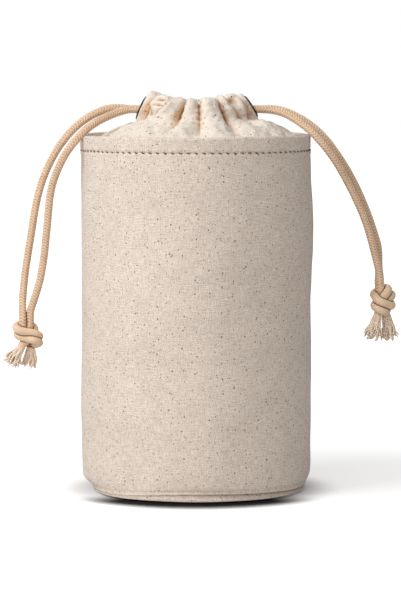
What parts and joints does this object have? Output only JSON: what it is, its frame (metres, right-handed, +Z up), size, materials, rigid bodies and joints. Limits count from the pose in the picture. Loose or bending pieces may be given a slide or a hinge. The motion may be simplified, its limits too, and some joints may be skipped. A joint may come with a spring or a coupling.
{
  "type": "drawstring cosmetic bag",
  "caption": "Round canvas drawstring bag with a stitched hem, a gathered collar, metal eyelets and knotted cotton cords.",
  "frame": {"origin": "centre of the base, on the surface that the bag stands on", "axes": "+Z up along the axis of the bag, +X towards the right eyelet, -Y towards the front"},
  "size_m": [0.2213, 0.132, 0.222],
  "materials": {
    "canvas": "natural seeded cotton canvas, matte",
    "collar_cloth": "thinner seeded cotton cloth, matte",
    "lining": "plain cotton lining, matte",
    "thread": "cotton thread",
    "cord": "braided cotton cord, matte",
    "yarn": "loosened cotton yarn",
    "eyelet_metal": "dark gunmetal plating, satin"
  },
  "bodies": {
    "pouch": {"outer_wall": "canvas", "base_panel": "canvas", "rim_hem": "canvas", "hem_stitching": "thread", "lining_wall": "lining", "lining_base": "lining", "back_seam_allowance": "canvas", "collar_skirt": "collar_cloth"},
    "neck": {"drawstring_casing": "collar_cloth", "casing_stitching": "thread", "left_eyelet": "eyelet_metal", "left_eyelet_washer": "eyelet_metal", "right_eyelet": "eyelet_metal", "right_eyelet_washer": "eyelet_metal", "left_drawcord_loop": "cord", "right_drawcord_loop": "cord"},
    "left_pull": {"left_front_cord_root": "cord", "left_back_cord_root": "cord"},
    "left_tails": {"left_front_cord_tail": "cord", "left_back_cord_tail": "cord", "left_knot": "cord", "left_front_fray": "yarn", "left_back_fray": "yarn"},
    "right_pull": {"right_front_cord_root": "cord", "right_back_cord_root": "cord"},
    "right_tails": {"right_front_cord_tail": "cord", "right_back_cord_tail": "cord", "right_knot": "cord", "right_front_fray": "yarn", "right_back_fray": "yarn"}
  },
  "joints": [
    {"name": "neck_lift", "type": "slide", "parent": "pouch", "child": "neck", "axis": [0, 0, 1], "range_m": [0, 0.01], "deforming": ["collar_skirt"]},
    {"name": "left_cord_pull", "type": "slide", "parent": "neck", "child": "left_pull", "axis": [-1, 0, 0], "range_m": [0, 0.005]},
    {"name": "left_cord_swing", "type": "hinge", "parent": "left_pull", "child": "left_tails", "pos_m": [-0.0375, 0, 0.2139], "axis": [0, 1, 0], "range_deg": [0, 80]},
    {"name": "right_cord_pull", "type": "slide", "parent": "neck", "child": "right_pull", "axis": [1, 0, 0], "range_m": [0, 0.005]},
    {"name": "right_cord_swing", "type": "hinge", "parent": "right_pull", "child": "right_tails", "pos_m": [0.0375, 0, 0.2139], "axis": [0, -1, 0], "range_deg": [0, 80]}
  ]
}
